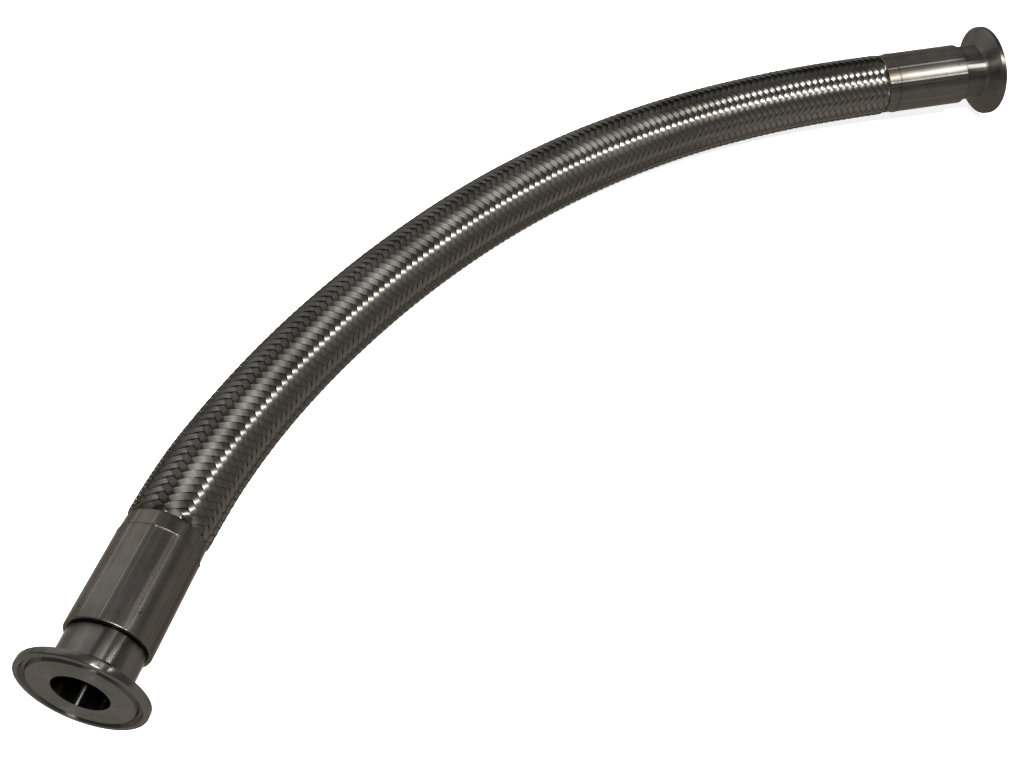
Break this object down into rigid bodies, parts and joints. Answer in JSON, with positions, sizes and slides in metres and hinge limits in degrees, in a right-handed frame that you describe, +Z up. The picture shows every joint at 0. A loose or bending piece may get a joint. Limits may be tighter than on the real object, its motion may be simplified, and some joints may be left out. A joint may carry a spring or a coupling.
{
  "type": "braided metal hose",
  "caption": "Bowed stainless steel braided hose with a sanitary clamp ferrule held by a crimped sleeve on each end, lying on the ground.",
  "frame": {"origin": "on the ground, in the middle of the box round the two ferrules and their sleeves", "axes": "+X along the chord from the near end to the far end, +Y to the outside of the bow, +Z up"},
  "size_m": [0.5914, 0.1379, 0.0506],
  "materials": {
    "ferrule_steel": "turned, satin, handled",
    "sleeve_steel": "satin, with die marks",
    "braid_wire": "drawn wire, dull",
    "hose_steel": "thin formed strip"
  },
  "bodies": {
    "root": {"near_ferrule": "ferrule_steel", "far_ferrule": "ferrule_steel", "near_sleeve": "sleeve_steel", "far_sleeve": "sleeve_steel", "wire_braid": "braid_wire", "inner_hose": "hose_steel"}
  },
  "joints": []
}
